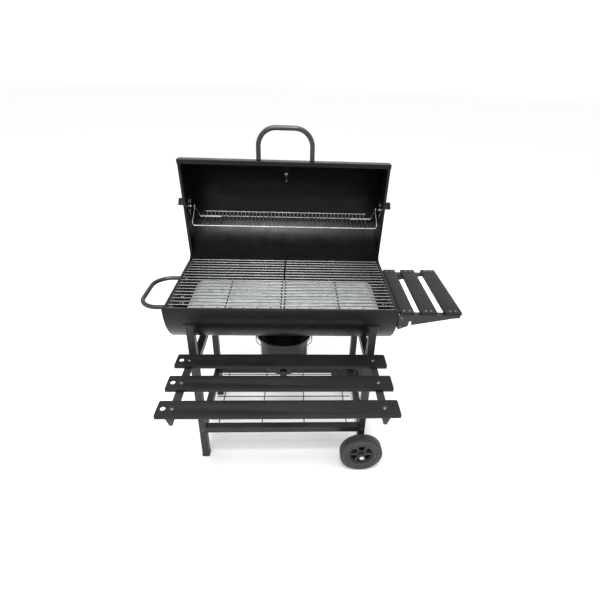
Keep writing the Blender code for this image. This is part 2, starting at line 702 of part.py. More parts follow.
def wheel(end, side):
    """One-piece plastic wheel with a ribbed web and six windows, free on the axle."""
    pivot = Pivot(f"wheel_{end}_spin", (AXLE_X, side * WHEEL_Y, WHEEL_R), root)
    half = WHEEL_WIDTH / 2
    bore = AXLE_R + 0.0005
    profile = [(bore, HUB_HALF), (0.013, HUB_HALF), (0.015, 0.012), (0.042, 0.010),
               (0.047, half), (WHEEL_R - 0.008, half), (WHEEL_R, half - 0.009),
               (WHEEL_R, 0.009 - half), (WHEEL_R - 0.008, -half), (0.047, -half),
               (0.042, 0.002), (0.015, 0.002), (0.013, -HUB_HALF), (bore, -HUB_HALF)]
    mesh = turned_mesh(profile, 24)
    mesh.transform(Matrix.Rotation(math.radians(90 * -side), 4, "X"))
    piece = add_piece(f"wheel_{end}", mesh, PLASTIC, 0.6)
    cutter = window_cutter(f"wheel_{end}_windows")
    for part in (piece, cutter):
        part.location = (AXLE_X, side * WHEEL_Y, WHEEL_R)
        pivot.hang(part)
    boolean(piece, cutter, "DIFFERENCE")


def window_cutter(name):
    """Prisms through the wheel's web, one per window."""
    outlines = []
    for i in range(6):
        spoke = 60 * i
        outlines.append(arc(0.019, spoke + 38, spoke + 22, 1)
                        + arc(0.039, spoke + 13, spoke + 47, 3))
    turn = Matrix.Rotation(math.radians(90), 4, "X")
    return make_guide(name, as_mesh(plate_curve(name, outlines, 0.06), turn))


def axle():
    """Axle rod with a round cap on each end."""
    end = WHEEL_Y + HUB_HALF + 0.0008
    profile = [(0, end + 0.006), (0.0085, end + 0.006), (0.0085, end), (AXLE_R, end),
               (AXLE_R, -end), (0.0085, -end), (0.0085, -end - 0.006), (0, -end - 0.006)]
    rod = turned_mesh(profile, 12)
    rod.transform(Matrix.Translation((AXLE_X, 0, WHEEL_R)) @ AXIS_TURN["y"])
    root.hang(add_piece("axle", rod, CHROME, 0.35, 1.0))


# ---------------------------------------------------------------- front shelf and side table
def front_shelf():
    """Three slats across two folded channel arms that stand out from the front legs."""
    back = LEG_FRONT_Y - TUBE / 2 - GAP
    front = FRONT_EDGE + 0.003
    top = SHELF_TOP_Z - SLAT_T - GAP
    path = [(0.0045, top - 0.028), (0.0125, top - 0.003), (0.0110, top),
            (-0.0110, top), (-0.0125, top - 0.003), (-0.0045, top - 0.028)]
    for word, x in (("left", -ARM_X), ("right", ARM_X)):
        arm = thicken(add_piece(f"shelf_arm_{word}", sheet_mesh(path, front, back), FRAME_BLACK))
        arm.rotation_euler = (0, 0, math.radians(90))
        arm.location = (x, 0, 0)
        root.hang(arm)
    for number in range(3):
        y = SHELF_BACK_Y - SHELF_PITCH * number - SHELF_SLAT / 2
        rim = slat_outline(SHELF_HALF_X, SHELF_SLAT / 2)
        hook_hole = arc(0.0065, 0, 330, 11, (-SHELF_HALF_X + 0.018, 0))
        name = f"shelf_slat_{number + 1}"
        slat = add_piece(name, plate_curve(name, [rim, hook_hole], SLAT_T), SLAT_BLACK, 0.5)
        slat.location = (0, y, SHELF_TOP_Z - SLAT_T / 2)
        root.hang(slat)


def slat_outline(half_x, half_y, corner=0.005):
    """A rectangle with small round corners."""
    corners = []
    for turn, sx, sy in ((0, 1, 1), (90, -1, 1), (180, -1, -1), (270, 1, -1)):
        centre = (sx * (half_x - corner), sy * (half_y - corner))
        corners += arc(corner, turn, turn + 90, 2, centre)
    return corners


def side_table():
    """Three slats on two tapered brackets that stand out from the bowl's end."""
    for letter, (low, high) in TABLE_SLATS.items():
        rim = slat_outline((high - low) / 2, (TABLE_BACK_Y - TABLE_FRONT_Y) / 2, 0.004)
        name = f"table_slat_{letter}"
        slat = add_piece(name, plate_curve(name, [rim], SLAT_T), SLAT_BLACK, 0.5)
        slat.location = ((low + high) / 2, (TABLE_BACK_Y + TABLE_FRONT_Y) / 2,
                         TABLE_TOP_Z - SLAT_T / 2)
        root.hang(slat)
    table_bracket("front", TABLE_FRONT_Y + 0.0025, 1)
    table_bracket("rear", TABLE_BACK_Y - 0.0025, -1)


def table_bracket(end, y, inward):
    """Web with a tapered lower edge and one slot, folded under the slats and at the bowl."""
    top = TABLE_TOP_Z - SLAT_T - GAP
    outline = [(0.3755, 0.611), (0.404, 0.621), (0.409, 0.626), (0.411, 0.641),
               (0.417, 0.643), (0.419, 0.628), (0.425, 0.6285), (0.560, 0.6545)]
    outline += arc(0.007, -60, 0, 3, (0.570, 0.661)) + [(0.577, top), (0.3755, top)]
    flat = Matrix.Translation((0, y, 0)) @ Matrix.Rotation(math.radians(90), 4, "X")
    web = as_mesh(plate_curve("web", [outline], 0.002), flat)
    low, high = sorted((y + inward * 0.0005, y + inward * 0.019))
    flange = boxes_mesh([((0.3790, low, top - 0.0018), (0.5765, high, top - 0.0001))])
    low, high = sorted((y + inward * 0.0005, y + inward * 0.024))
    foot = boxes_mesh([((0.3756, low, 0.6130), (0.3774, high, top - 0.003))])
    root.hang(fused(f"table_bracket_{end}", [web, flange, foot], FRAME_BLACK))


# ---------------------------------------------------------------- assembly
clear_scene()
parts = make_collection("barrel_charcoal_grill")
guides = make_collection("cutters")
root = Pivot("grill", (0, 0, 0))
root.empty.location = (-(LEFT_EDGE + RIGHT_EDGE) / 2, -(FRONT_EDGE + BACK_EDGE) / 2, 0)
lid = Pivot("lid_hinge", (0, HINGE_Y, HINGE_Z), root)
lid.empty.rotation_euler = (-LID_OPEN, 0, 0)

bowl_shell()
lid_shell()
for side_word, side_sign in (("left", -1), ("right", 1)):
    root.hang(end_plate(f"bowl_end_{side_word}", side_sign, 180, RIM_Z, BOWL_VENT_Z, 0.006))
    lid.hang(end_plate(f"lid_end_{side_word}", side_sign, 0, LID_Z, LID_VENT_Z, 0.026))
    vent(f"bowl_vent_disc_{side_word}", side_sign, BOWL_VENT_Z, 315, root)
    vent(f"lid_vent_disc_{side_word}", side_sign, LID_VENT_Z, 225, lid, 0.5)
    cooking_grate(f"cooking_grate_{side_word}", side_sign)
bowl_rear_lip()
grate_ledges()
side_handle()
charcoal_tray()
ash_outlet()
ash_pot()
lid_handle()
thermometer()
hinges()
lid_stops()
warming_rack()

legs()
rails()
wire_shelf()
feet()
wheel("front", -1)
wheel("rear", 1)
axle()
front_shelf()
side_table()
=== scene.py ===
"""Barrel charcoal grill: fine shapes, finishes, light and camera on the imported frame."""
import json
import math

import bmesh
import bpy
from mathutils import Matrix, Vector


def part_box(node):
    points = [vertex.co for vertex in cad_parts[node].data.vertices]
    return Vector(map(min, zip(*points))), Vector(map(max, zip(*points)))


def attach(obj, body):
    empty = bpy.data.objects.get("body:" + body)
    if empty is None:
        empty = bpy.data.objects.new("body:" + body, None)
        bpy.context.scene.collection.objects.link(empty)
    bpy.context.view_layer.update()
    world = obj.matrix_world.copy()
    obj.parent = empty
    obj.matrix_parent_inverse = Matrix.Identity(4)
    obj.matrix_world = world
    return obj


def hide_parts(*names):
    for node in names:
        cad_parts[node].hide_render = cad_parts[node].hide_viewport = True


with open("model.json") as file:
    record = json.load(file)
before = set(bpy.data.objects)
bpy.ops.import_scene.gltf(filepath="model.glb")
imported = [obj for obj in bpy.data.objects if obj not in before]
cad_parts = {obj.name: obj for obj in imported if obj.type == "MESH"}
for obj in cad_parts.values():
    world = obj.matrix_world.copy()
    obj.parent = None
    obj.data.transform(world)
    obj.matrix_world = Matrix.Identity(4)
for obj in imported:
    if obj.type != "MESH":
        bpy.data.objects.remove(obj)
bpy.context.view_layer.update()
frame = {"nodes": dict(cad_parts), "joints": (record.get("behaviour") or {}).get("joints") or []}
nodes = frame["nodes"]
joints = {j["name"]: j for j in frame["joints"]}

# ---------------------------------------------------------------- places, from the frame
bowl_low, bowl_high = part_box("bowl_shell")
HALF = (bowl_high[0] - bowl_low[0]) / 2     # half the barrel's length
R = (bowl_high[1] - bowl_low[1]) / 2        # the barrel's outer radius
RIM = bowl_high[2]                          # height of the bowl's rim
MIDDLE = Vector(((bowl_low[0] + bowl_high[0]) / 2, (bowl_low[1] + bowl_high[1]) / 2, 0))
BARREL = Matrix.Translation(MIDDLE)         # barrel's own frame: its axis at Y = 0
HINGE = Vector(joints["lid_hinge"]["pos_m"])
OPEN = math.radians(joints["lid_hinge"]["range_deg"][1])
SWING = Matrix.Translation(HINGE) @ Matrix.Rotation(-OPEN, 4, "X") @ Matrix.Translation(-HINGE)
LID_POSE = SWING @ BARREL                   # places a piece drawn on the closed lid
UPRIGHT = Matrix.Rotation(math.radians(90), 4, "Z") @ Matrix.Rotation(math.radians(90), 4, "X")


def centre_of(node):
    """Middle of a CAD solid's box, in the barrel's own frame."""
    low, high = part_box(node)
    return Vector([(a + b) / 2 for a, b in zip(low, high)]) - MIDDLE


BOWL_VENT_Z = joints["bowl_vent_turn_left"]["pos_m"][2]
GRATE_Z = joints["grate_lift_left"]["pos_m"][2]
TRAY_Z = joints["tray_lift"]["pos_m"][2]
SIDE_HANDLE_Z = centre_of("side_handle")[2]
HINGE_X = centre_of("hinge_pin_right")[0]
LEG_X = centre_of("leg_front_right")[0]
SHELF_ARM_X = centre_of("shelf_arm_right")[0]

# ---------------------------------------------------------------- sizes, as in the CAD
SHEET = 0.0015                              # thickness of all sheet parts
LID = RIM + 0.0015                          # lower edge of the closed lid
END_FACE = HALF - 0.001                     # outer face of the barrel's end plates
FIT = 0.0003                                # gap between a fitting and the sheet it sits on
VENT_Y = 0.020                              # the vents sit a little behind the barrel's axis
LID_VENT_Z = 0.777                          # with the lid closed
HANDLE_BEND = 0.062                         # bend radius of both handles
SIDE_HANDLE_HALF = 0.105                    # half the distance between the handle's feet
SIDE_HANDLE_REACH = 0.1077
LID_HANDLE_HALF = 0.0945
LID_HANDLE_REACH = 0.108
LID_HANDLE_ANGLE = 172                      # degrees round the closed lid, from its back edge
THERMOMETER_ANGLE = 30.6                    # degrees in front of the closed lid's top
GRATE_PITCH = 0.0212
GRATE_BARS = 18
BRACKET_BOLT_X = 0.3845
CAP_OUT = 0.02285                           # from a wheel's middle to the axle's cap
FRAME_BODY = "frame_and_bowl"


def shift(x, y, z):
    """Matrix that moves by x, y and z."""
    return Matrix.Translation((x, y, z))


def turn(degrees, axis):
    """Matrix that turns about an axis through the origin."""
    return Matrix.Rotation(math.radians(degrees), 4, axis)


# ---------------------------------------------------------------- materials
def material(name, colour, roughness, metallic=0.0, specular=0.5):
    """A Principled material, with its tree and its shader."""
    made = bpy.data.materials.new(name)
    made.use_nodes = True
    shader = made.node_tree.nodes["Principled BSDF"]
    shader.inputs["Base Color"].default_value = (*colour, 1)
    shader.inputs["Roughness"].default_value = roughness
    shader.inputs["Metallic"].default_value = metallic
    shader.inputs["Specular IOR Level"].default_value = specular
    return made, made.node_tree, shader


def noise(tree, scale, detail=4.0, stretch=(1, 1, 1)):
    """A noise texture in the object's own coordinates."""
    coords = tree.nodes.new("ShaderNodeTexCoord")
    mapping = tree.nodes.new("ShaderNodeMapping")
    mapping.inputs["Scale"].default_value = stretch
    texture = tree.nodes.new("ShaderNodeTexNoise")
    texture.inputs["Scale"].default_value = scale
    texture.inputs["Detail"].default_value = detail
    tree.links.new(coords.outputs["Object"], mapping.inputs["Vector"])
    tree.links.new(mapping.outputs["Vector"], texture.inputs["Vector"])
    return texture.outputs["Fac"]


def spread(tree, factor, low, high, target, start=0.3, end=0.7):
    """Maps a factor onto a range and links it to a socket."""
    mapper = tree.nodes.new("ShaderNodeMapRange")
    mapper.inputs["From Min"].default_value = start
    mapper.inputs["From Max"].default_value = end
    mapper.inputs["To Min"].default_value = low
    mapper.inputs["To Max"].default_value = high
    tree.links.new(factor, mapper.inputs["Value"])
    tree.links.new(mapper.outputs["Result"], target)


def tint(tree, factor, first, second, target, start=0.35, end=0.65):
    """Mixes two colours by a factor and links the result."""
    ramp = tree.nodes.new("ShaderNodeValToRGB")
    ramp.color_ramp.elements[0].position = start
    ramp.color_ramp.elements[0].color = (*first, 1)
    ramp.color_ramp.elements[1].position = end
    ramp.color_ramp.elements[1].color = (*second, 1)
    tree.links.new(factor, ramp.inputs["Fac"])
    tree.links.new(ramp.outputs["Color"], target)
    return ramp.outputs["Color"]


def bump(tree, shader, factor, strength, distance):
    """Lets a factor raise and lower the surface."""
    node = tree.nodes.new("ShaderNodeBump")
    node.inputs["Strength"].default_value = strength
    node.inputs["Distance"].default_value = distance
    tree.links.new(factor, node.inputs["Height"])
    tree.links.new(node.outputs["Normal"], shader.inputs["Normal"])


def scaled(colour, k):
    """The colour, lighter or darker by a factor."""
    return tuple(c * k for c in colour)


def paint(name, colour, roughness, specular, grain=1400.0, relief=0.10):
    """Sprayed paint: cloudy tone, uneven gloss and a fine orange peel."""
    made, tree, shader = material(name, colour, roughness, 0.0, specular)
    cloud = noise(tree, 6.0, 5.0)
    tint(tree, cloud, scaled(colour, 0.82), scaled(colour, 1.22), shader.inputs["Base Color"])
    spread(tree, noise(tree, 23.0, 6.0), roughness - 0.05, roughness + 0.07,
           shader.inputs["Roughness"])
    bump(tree, shader, noise(tree, grain, 2.0), relief, 0.0004)
    return made


def plated(name, colour, low, high, scale=22.0):
    """Bright wire or bolt plating with a slightly uneven polish."""
    made, tree, shader = material(name, colour, low, 1.0)
    tint(tree, noise(tree, scale, 5.0), scaled(colour, 0.75), colour, shader.inputs["Base Color"],
         0.28, 0.55)
    spread(tree, noise(tree, scale * 0.6, 4.0), low, high, shader.inputs["Roughness"])
    bump(tree, shader, noise(tree, 300.0, 2.0), 0.04, 0.0002)
    return made


def galvanised_sheet():
    """Zinc coat: spangle cells, faint rolling lines and dull patches."""
    colour = (0.41, 0.445, 0.455)
    made, tree, shader = material("galvanised_sheet", colour, 0.42, 0.20)
    coords = tree.nodes.new("ShaderNodeTexCoord")
    cells = tree.nodes.new("ShaderNodeTexVoronoi")
    cells.inputs["Scale"].default_value = 70.0
    tree.links.new(coords.outputs["Object"], cells.inputs["Vector"])
    grey = tree.nodes.new("ShaderNodeRGBToBW")
    tree.links.new(cells.outputs["Color"], grey.inputs["Color"])
    tint(tree, grey.outputs["Val"], scaled(colour, 0.80), scaled(colour, 1.12),
         shader.inputs["Base Color"], 0.1, 0.9)
    spread(tree, noise(tree, 5.0, 6.0, (1, 3, 1)), 0.32, 0.52, shader.inputs["Roughness"])
    bump(tree, shader, noise(tree, 240.0, 3.0, (0.08, 1, 1)), 0.04, 0.0003)
    return made


def moulded(name, colour, roughness):
    """Moulded plastic: faint flow marks and a fine spark-eroded grain."""
    made, tree, shader = material(name, colour, roughness, 0.0, 0.4)
    tint(tree, noise(tree, 14.0, 4.0), scaled(colour, 0.86), scaled(colour, 1.16),
         shader.inputs["Base Color"])
    spread(tree, noise(tree, 40.0, 5.0), roughness - 0.07, roughness + 0.08,
           shader.inputs["Roughness"])
    bump(tree, shader, noise(tree, 700.0, 3.0), 0.25, 0.0006)
    return made


def clear_glass():
    """Thin glass with faint wipe marks."""
    made, tree, shader = material("lens_glass", (1, 1, 1), 0.03)
    shader.inputs["Transmission Weight"].default_value = 1.0
    spread(tree, noise(tree, 30.0, 3.0), 0.01, 0.05, shader.inputs["Roughness"])
    return made


barrel_paint = paint("barrel_paint", (0.0040, 0.0041, 0.0040), 0.30, 0.17)
handle_paint = paint("handle_paint", (0.0150, 0.0152, 0.0146), 0.34, 0.40, 900.0, 0.08)
frame_paint = paint("frame_paint", (0.0170, 0.0166, 0.0130), 0.38, 0.26)
slat_coat = paint("slat_coat", (0.0070, 0.0072, 0.0072), 0.44, 0.17, 1900.0, 0.20)
pot_paint = paint("pot_paint", (0.0060, 0.0062, 0.0060), 0.34, 0.24, 700.0, 0.12)
chrome = plated("chrome_wire", (0.46, 0.46, 0.452), 0.38, 0.54)
grate_wire = plated("grate_wire", (0.15, 0.15, 0.147), 0.26, 0.40)
dark_bolt = plated("black_bolt", (0.10, 0.10, 0.10), 0.28, 0.45, 200.0)
zinc_bolt = plated("zinc_bolt", (0.72, 0.71, 0.68), 0.22, 0.40, 200.0)
galvanised = galvanised_sheet()
wheel_plastic = moulded("wheel_plastic", (0.022, 0.0225, 0.024), 0.55)
foot_plastic = moulded("foot_plastic", (0.020, 0.020, 0.020), 0.60)
dial_face = moulded("dial_face", (0.74, 0.74, 0.70), 0.45)
dial_ink = moulded("dial_ink", (0.03, 0.03, 0.03), 0.50)
needle_red = moulded("needle_red", (0.42, 0.02, 0.015), 0.40)
lens_glass = clear_glass()


# ---------------------------------------------------------------- making pieces
def add(name, data, finish, body, place=BARREL, stands_for=()):
    """Puts a piece in place, gives it its finish and lets it ride on its body."""
    data.transform(place)
    data.materials.append(finish)
    piece = bpy.data.objects.new(name, data)
    bpy.context.scene.collection.objects.link(piece)
    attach(piece, body)
    if stands_for:
        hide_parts(*stands_for)
    return piece


def bevel(piece, width, segments=2, angle=35):
    """Rounds a piece's sharp edges."""
    edge = piece.modifiers.new("rounded_edges", "BEVEL")
    edge.width = width
    edge.segments = segments
    edge.limit_method = "ANGLE"
    edge.angle_limit = math.radians(angle)
    edge.harden_normals = False
    return piece


def smooth(mesh, angle=35):
    """Smooth shading, with edges sharper than the angle kept sharp."""
    mesh.shade_smooth()
    mesh.set_sharp_from_angle(angle=math.radians(angle))
    return mesh


def mesh_of(fill):
    """A mesh filled by fill(bm)."""
    mesh = bpy.data.meshes.new("piece")
    bm = bmesh.new()
    fill(bm)
    bmesh.ops.recalc_face_normals(bm, faces=bm.faces)
    bm.to_mesh(mesh)
    bm.free()
    return smooth(mesh)


def combined(meshes):
    """One mesh from several, each (mesh, matrix)."""
    whole = bpy.data.meshes.new("piece")
    bm = bmesh.new()
    for mesh, place in meshes:
        mesh.transform(place)
        bm.from_mesh(mesh)
    bmesh.ops.recalc_face_normals(bm, faces=bm.faces)
    bm.to_mesh(whole)
    bm.free()
    return smooth(whole)


def arc(radius, start, end, steps, centre=(0, 0)):
    """Points on an arc, its angles in degrees."""
    angles = [math.radians(start + (end - start) * i / steps) for i in range(steps + 1)]
    return [(centre[0] + radius * math.cos(a), centre[1] + radius * math.sin(a)) for a in angles]


def swept(outline, low, high):
    """A closed (y, z) outline drawn along X, with flat ends."""
    def fill(bm):
        rings = [[bm.verts.new((x, y, z)) for y, z in outline] for x in (low, high)]
        count = len(outline)
        for i in range(count):
            j = (i + 1) % count
            bm.faces.new((rings[0][i], rings[0][j], rings[1][j], rings[1][i]))
        bm.faces.new(rings[0][::-1])
        bm.faces.new(rings[1])
    return mesh_of(fill)


def lathe(profile, steps=64):
    """A closed (radius, z) profile turned about Z."""
    def fill(bm):
        ring = [bm.verts.new((r, 0, z)) for r, z in profile]
        edges = [bm.edges.new((ring[i], ring[(i + 1) % len(ring)])) for i in range(len(ring))]
        bmesh.ops.spin(bm, geom=ring + edges, cent=(0, 0, 0), axis=(0, 0, 1),
                       angle=math.tau, steps=steps, use_duplicate=False)
        bmesh.ops.remove_doubles(bm, verts=bm.verts, dist=0.00002)
    return mesh_of(fill)


def box(low, high):
    """A block, as a mesh, for pieces that are then rounded or joined."""
    def fill(bm):
        size = [b - a for a, b in zip(low, high)]
        place = shift(*[(a + b) / 2 for a, b in zip(low, high)]) @ Matrix.Diagonal((*size, 1))
        bmesh.ops.create_cube(bm, size=1.0, matrix=place)
    return mesh_of(fill)


def plate(outlines, thickness, edge=0.0003):
    """A flat plate with holes and slightly rounded edges, as a mesh in its own plane."""
    curve = bpy.data.curves.new("plate", "CURVE")
    curve.dimensions = "2D"
    curve.fill_mode = "BOTH"
    curve.extrude = thickness / 2 - edge
    curve.bevel_depth = edge
    curve.bevel_resolution = 1
    curve.offset = -edge
    for outline in outlines:
        spline = curve.splines.new("POLY")
        spline.points.add(len(outline) - 1)
        for point, (u, v) in zip(spline.points, outline):
            point.co = (u, v, 0, 1)
        spline.use_cyclic_u = True
    return curve_mesh(curve)


def wires(runs, radius, closed=False, resolution=4):
    """Round wires along runs of points, as a mesh."""
    curve = bpy.data.curves.new("wires", "CURVE")
    curve.dimensions = "3D"
    curve.bevel_depth = radius
    curve.bevel_resolution = resolution
    curve.use_fill_caps = True
    for run in runs:
        spline = curve.splines.new("POLY")
        spline.points.add(len(run) - 1)
        for point, place in zip(spline.points, run):
            point.co = (*place, 1)
        spline.use_cyclic_u = closed
        spline.use_smooth = True
    return curve_mesh(curve)


def curve_mesh(curve):
    """The mesh that a curve makes, with its doubled points joined."""
    holder = bpy.data.objects.new("holder", curve)
    bpy.context.scene.collection.objects.link(holder)
    bpy.context.view_layer.update()
    graph = bpy.context.evaluated_depsgraph_get()
    mesh = bpy.data.meshes.new_from_object(holder.evaluated_get(graph))
    bpy.data.objects.remove(holder)
    bm = bmesh.new()
    bm.from_mesh(mesh)
    bmesh.ops.remove_doubles(bm, verts=bm.verts, dist=0.00001)
    bm.to_mesh(mesh)
    bm.free()
    mesh.materials.clear()
    return smooth(mesh, 40)


def rounded(points, bend, steps=7):
    """The polyline with each corner rounded to a bend radius."""
    points = [Vector(p) for p in points]
    run = [points[0]]
    for before, corner, after in zip(points, points[1:], points[2:]):
        inward = (before - corner).normalized()
        outward = (after - corner).normalized()
        angle = inward.angle(outward)
        reach = bend / math.tan(angle / 2)
        centre = corner + (inward + outward).normalized() * (bend / math.sin(angle / 2))
        start = (corner + inward * reach - centre).normalized()
        end = (corner + outward * reach - centre).normalized()
        for i in range(steps + 1):
            run.append(centre + start.slerp(end, i / steps) * bend)
    return run + [points[-1]]


def rounded_box_outline(half_u, half_v, corner, steps=6):
    """Rectangle with round corners."""
    corners = []
    for start, su, sv in ((0, 1, 1), (90, -1, 1), (180, -1, -1), (270, 1, -1)):
        centre = (su * (half_u - corner), sv * (half_v - corner))
        corners += arc(corner, start, start + 90, steps, centre)
    return corners


def bolt_head(radius, height):
    """Low domed head on a washer, with a socket in its middle."""
    washer = radius * 1.28
    dome = [(washer, 0.0), (washer, 0.0007), (washer - 0.0004, 0.0010), (radius, 0.0010)]
    dome += [(radius * math.cos(a), 0.0010 + (height - 0.0010) * math.sin(a))
             for a in [math.radians(v) for v in (25, 45, 62)]]
    dome += [(radius * 0.34, height), (radius * 0.30, height * 0.55), (0, height * 0.5), (0, 0)]
    return lathe(dome, 28)


# ---------------------------------------------------------------- bowl
def end_outline(radius, base, start):
    """Half disc, its straight side 2 mm inside the shell's edge."""
    tilt = math.degrees(math.asin(0.002 / radius))
    return arc(radius, start + tilt, start + 180 - tilt, 90, (0, base))


def petals(centre, first=0, count=6):
    """Round-cornered openings of a vent, between its hub and its rim."""
    shapes = []
    for i in range(count):
        middle = 360 / count * (i + first) + 90
        inner = arc(0.0140, middle + 14, middle - 14, 5, centre)
        outer = arc(0.0340, middle - 14, middle + 14, 7, centre)
        shapes.append(inner + outer)
    return shapes


def make_bowl():
    """Bowl shell with its rear flange, end plates, vents, lip and ledges."""
    outline = [(-0.1810, RIM), (-R + 0.0008, RIM), (-R + 0.0002, RIM - 0.0003)]
    outline += arc(R, 180.4, 359.9, 110, (0, RIM))
    outline += [(R - 0.0004, RIM), (R - SHEET + 0.0003, RIM)]
    outline += arc(R - SHEET, 359.9, 180.6, 110, (0, RIM))
    outline += [(-0.1810, RIM - SHEET)]
    shell = add("bowl", swept(outline, -HALF, HALF), barrel_paint, FRAME_BODY,
                stands_for=["bowl_shell"])
    bevel(shell, 0.0004, 2, 50)
    for word, side in (("left", -1), ("right", 1)):
        end_plate(f"bowl_end_plate_{word}", side, RIM, 180, BOWL_VENT_Z, 0.006, BARREL,
                  FRAME_BODY, f"bowl_end_{word}")
        vent_disc(f"bowl_vent_{word}_disc", side, BOWL_VENT_Z, 315, BARREL,
                  f"bowl_vent_{word}", f"bowl_vent_disc_{word}")
    for name in ("bowl_rear_lip", "grate_ledge_front", "grate_ledge_rear"):
        finish_cad(name, barrel_paint, 0.0004)


def end_plate(name, side, base, start, vent_z, reach_in, place, body, node):
    """End plate with its folded edge at the mouth, the vent's openings and its stud."""
    radius = R - SHEET - FIT
    x = side * (END_FACE - SHEET / 2)
    face = plate([end_outline(radius, base, start)] + petals((VENT_Y, vent_z)), SHEET)
    inward = 1 if start == 0 else -1
    edge_z = base + inward * 0.0027
    low, high = sorted((x, x - side * 0.0085))
    fold = box((low, -0.1845, edge_z - 0.0007), (high, 0.1845, edge_z + 0.0007))
    outside = END_FACE + SHEET + 0.0006
    stud = [(0.0030, END_FACE - reach_in), (0.0030, outside), (0.0060, outside),
            (0.0060, outside + 0.0012), (0.0050, outside + 0.0026), (0.0022, outside + 0.0030),
            (0, outside + 0.0030), (0, END_FACE - reach_in)]
    stud_place = shift(0, VENT_Y, vent_z) @ turn(90 * side, "Y")
    mesh = combined([(face, shift(x, 0, 0) @ UPRIGHT), (fold, Matrix.Identity(4)),
                     (lathe(stud, 20), stud_place)])
    add(name, mesh, barrel_paint, body, place, stands_for=[node])
    nut = lathe([(0.0034, 0.0), (0.0068, 0.0), (0.0068, 0.0040), (0.0034, 0.0040)], 6)
    inner = END_FACE - SHEET - 0.0045
    nut_place = place @ shift(0, VENT_Y, vent_z) @ turn(90 * side, "Y") @ shift(0, 0, inner)
    add(name + "_nut", nut, zinc_bolt, body, nut_place)


def vent_disc(name, side, vent_z, tab_turn, place, body, node, first=0):
    """Turning disc with a bent tab that has rounded corners."""
    x = side * (END_FACE + FIT + SHEET / 2)
    disc = plate([arc(0.045, 0, 355, 71), arc(0.0036, 0, 345, 23)] + petals((0, 0), first),
                 SHEET)
    tab = plate([rounded_box_outline(0.0155, 0.015, 0.005)], SHEET)
    stand = turn(tab_turn, "X") @ shift(side * 0.0165, 0.04325, 0) @ turn(90, "X")
    elbow = box((-0.0005, 0.0412, -0.0148), (0.0030, 0.0440, 0.0148))
    mesh = combined([(disc, UPRIGHT), (tab, stand),
                     (elbow, turn(tab_turn, "X") @ Matrix.Diagonal((side, 1, 1, 1)))])
    add(name, mesh, barrel_paint, body, place @ shift(x, VENT_Y, vent_z),
        stands_for=[node])


def finish_cad(name, finish, edge=0.0, segments=2):
    """A carried-over solid gets its finish and rounded edges."""
    solid = nodes[name]
    solid.data.materials.clear()
    solid.data.materials.append(finish)
    if edge:
        bevel(solid, edge, segments)


# ---------------------------------------------------------------- handles
def handle_run(half, reach):
    """U of a handle, from foot to foot, as (along, out) points."""
    bend = HANDLE_BEND
    return [(-half, 0), *arc(bend, 180, 90, 14, (-half + bend, reach - bend)),
            *arc(bend, 90, 0, 14, (half - bend, reach - bend)), (half, 0)]


def make_side_handle():
    """Bent tube on the left end plate, with a collar and a bolt at each foot."""
    face = -END_FACE - FIT
    behind = -END_FACE + SHEET + FIT
    run = [(face - v, u, SIDE_HANDLE_Z)
           for u, v in handle_run(SIDE_HANDLE_HALF, SIDE_HANDLE_REACH)]
    add("side_handle_tube", wires([run], 0.008, resolution=7), handle_paint, FRAME_BODY,
        stands_for=["side_handle"])
    for word, y in (("rear", SIDE_HANDLE_HALF), ("front", -SIDE_HANDLE_HALF)):
        ring = lathe([(0.0081, 0), (0.0125, 0), (0.0125, 0.0008), (0.0100, 0.0018),
                      (0.0081, 0.0020)], 32)
        place = BARREL @ shift(face, y, SIDE_HANDLE_Z) @ turn(-90, "Y")
        add(f"side_handle_collar_{word}", ring, handle_paint, FRAME_BODY, place)
        place = BARREL @ shift(behind, y, SIDE_HANDLE_Z) @ turn(90, "Y")
        add(f"side_handle_bolt_{word}", bolt_head(0.0055, 0.003), zinc_bolt, FRAME_BODY, place)


def make_lid_handle():
    """Bent tube near the lid's free edge, with a bolt inside the lid at each foot."""
    angle = math.radians(LID_HANDLE_ANGLE)
    foot = (0, (R + FIT) * math.cos(angle), LID + (R + FIT) * math.sin(angle))
    run = [(u, v, 0) for u, v in handle_run(LID_HANDLE_HALF, LID_HANDLE_REACH)]
    place = LID_POSE @ shift(*foot) @ turn(LID_HANDLE_ANGLE, "X")
    add("lid_handle_tube", wires([run], 0.0085, resolution=7), handle_paint, "lid", place,
        stands_for=["lid_handle"])
    for word, x in (("left", -LID_HANDLE_HALF), ("right", LID_HANDLE_HALF)):
        inside = place @ shift(x, -0.0025, 0) @ turn(90, "X")
        add(f"lid_handle_bolt_{word}", bolt_head(0.0055, 0.003), dark_bolt, "lid", inside)


# ---------------------------------------------------------------- lid
def make_lid():
    """Lid shell with its front flange, end plates, vents, hinges and stops."""
    outline = [(R, LID)] + arc(R, 0.2, 179.6, 110, (0, LID))
    outline += [(-R + 0.0002, LID + 0.0003), (-R + 0.0008, LID), (-0.1750, LID),
                (-0.1750, LID + SHEET)]
    outline += arc(R - SHEET, 179.3, 0.2, 110, (0, LID)) + [(R - SHEET, LID)]
    shell = add("lid_cover", swept(outline, -HALF, HALF), barrel_paint, "lid", LID_POSE,
                stands_for=["lid_shell"])
    bevel(shell, 0.0004, 2, 50)
    for word, side in (("left", -1), ("right", 1)):
        end_plate(f"lid_end_plate_{word}", side, LID, 0, LID_VENT_Z, 0.026, LID_POSE, "lid",
                  f"lid_end_{word}")
        vent_disc(f"lid_vent_{word}_disc", side, LID_VENT_Z, 225, LID_POSE,
                  f"lid_vent_{word}", f"lid_vent_disc_{word}", 0.5)
        for part, body in (("bowl", FRAME_BODY), ("lid", "lid")):
            finish_cad(f"hinge_{part}_leaf_{word}", barrel_paint, 0.0003)
            leaf_rivets(part, word, side, body)
        finish_cad(f"hinge_pin_{word}", zinc_bolt, 0.0005)
        finish_cad(f"lid_stop_{word}", frame_paint, 0.0006)


